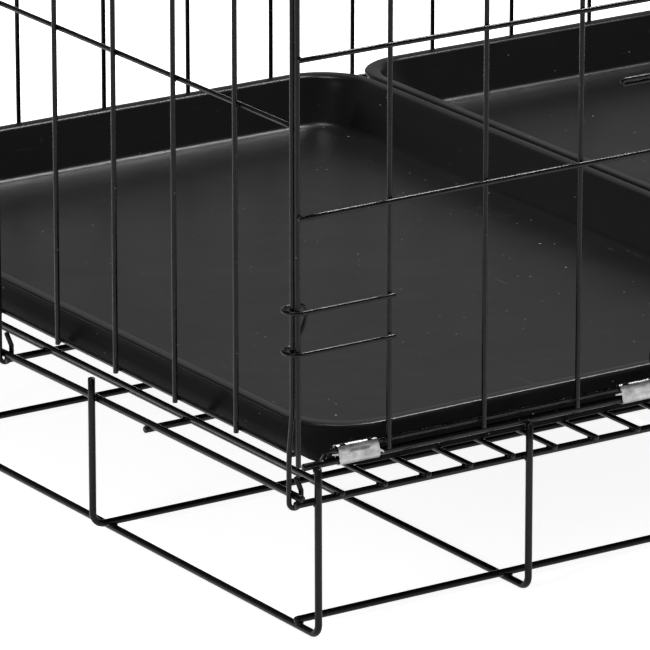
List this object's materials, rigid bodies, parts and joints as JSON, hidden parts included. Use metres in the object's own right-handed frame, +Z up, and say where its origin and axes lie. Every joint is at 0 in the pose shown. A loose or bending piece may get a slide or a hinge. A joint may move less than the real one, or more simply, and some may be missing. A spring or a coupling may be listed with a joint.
{
  "type": "wire dog crate",
  "caption": "Raised folding wire dog crate with a hinged front door, sliding bolts, fold-in end walls and lift-out plastic trays.",
  "frame": {"origin": "on the ground under the middle of the crate's bounding box", "axes": "+X along the front, towards its right end; +Y from the front to the back; +Z up"},
  "size_m": [0.9346, 0.6638, 0.7242],
  "materials": {
    "coated_wire": "gloss black powder coat on steel wire",
    "clip_steel": "bright galvanised sheet",
    "tray_plastic": "satin black moulded plastic"
  },
  "bodies": {
    "frame": {"floor_bars": "coated_wire", "floor_cross_wires": "coated_wire", "left_side_rail": "coated_wire", "right_side_rail": "coated_wire", "front_hinge_rail": "coated_wire", "back_hinge_rail": "coated_wire", "cross_legs": "coated_wire", "long_legs": "coated_wire", "front_ground_rod": "coated_wire", "back_ground_rod": "coated_wire", "front_sill_wire": "coated_wire", "front_left_bay": "coated_wire", "front_right_bay": "coated_wire", "front_header": "coated_wire", "back_wall": "coated_wire", "roof_grille": "coated_wire", "front_base_clips": "clip_steel", "back_base_clips": "clip_steel", "front_roof_clips": "clip_steel", "back_roof_clips": "clip_steel", "front_left_hooks": "coated_wire", "front_right_hooks": "coated_wire", "back_left_hooks": "coated_wire", "back_right_hooks": "coated_wire", "bolt_guides": "coated_wire"},
    "left_end": {"left_end_wall": "coated_wire", "left_end_loops": "coated_wire"},
    "right_end": {"right_end_wall": "coated_wire", "right_end_loops": "coated_wire"},
    "door": {"front_door": "coated_wire", "door_hinge_rings": "coated_wire"},
    "upper_bolt": {"upper_bolt": "coated_wire"},
    "lower_bolt": {"lower_bolt": "coated_wire"},
    "left_tray": {"left_tray": "tray_plastic"},
    "right_tray": {"right_tray": "tray_plastic"}
  },
  "joints": [
    {"name": "left_end_fold", "type": "hinge", "parent": "frame", "child": "left_end", "pos_m": [-0.4575, 0, 0.0869], "axis": [0, -1, 0], "range_deg": [-20, 0]},
    {"name": "right_end_fold", "type": "hinge", "parent": "frame", "child": "right_end", "pos_m": [0.4575, 0, 0.0869], "axis": [0, 1, 0], "range_deg": [-20, 0]},
    {"name": "door_swing", "type": "hinge", "parent": "frame", "child": "door", "pos_m": [0.26533, -0.3244, 0.3], "axis": [0, 0, 1], "range_deg": [0, 110]},
    {"name": "upper_bolt_slide", "type": "slide", "parent": "frame", "child": "upper_bolt", "axis": [1, 0, 0], "range_m": [0, 0.034]},
    {"name": "lower_bolt_slide", "type": "slide", "parent": "frame", "child": "lower_bolt", "axis": [1, 0, 0], "range_m": [0, 0.034]},
    {"name": "left_tray_lift", "type": "slide", "parent": "frame", "child": "left_tray", "axis": [0, 0, 1], "range_m": [0, 0.25]},
    {"name": "right_tray_lift", "type": "slide", "parent": "frame", "child": "right_tray", "axis": [0, 0, 1], "range_m": [0, 0.25]}
  ]
}
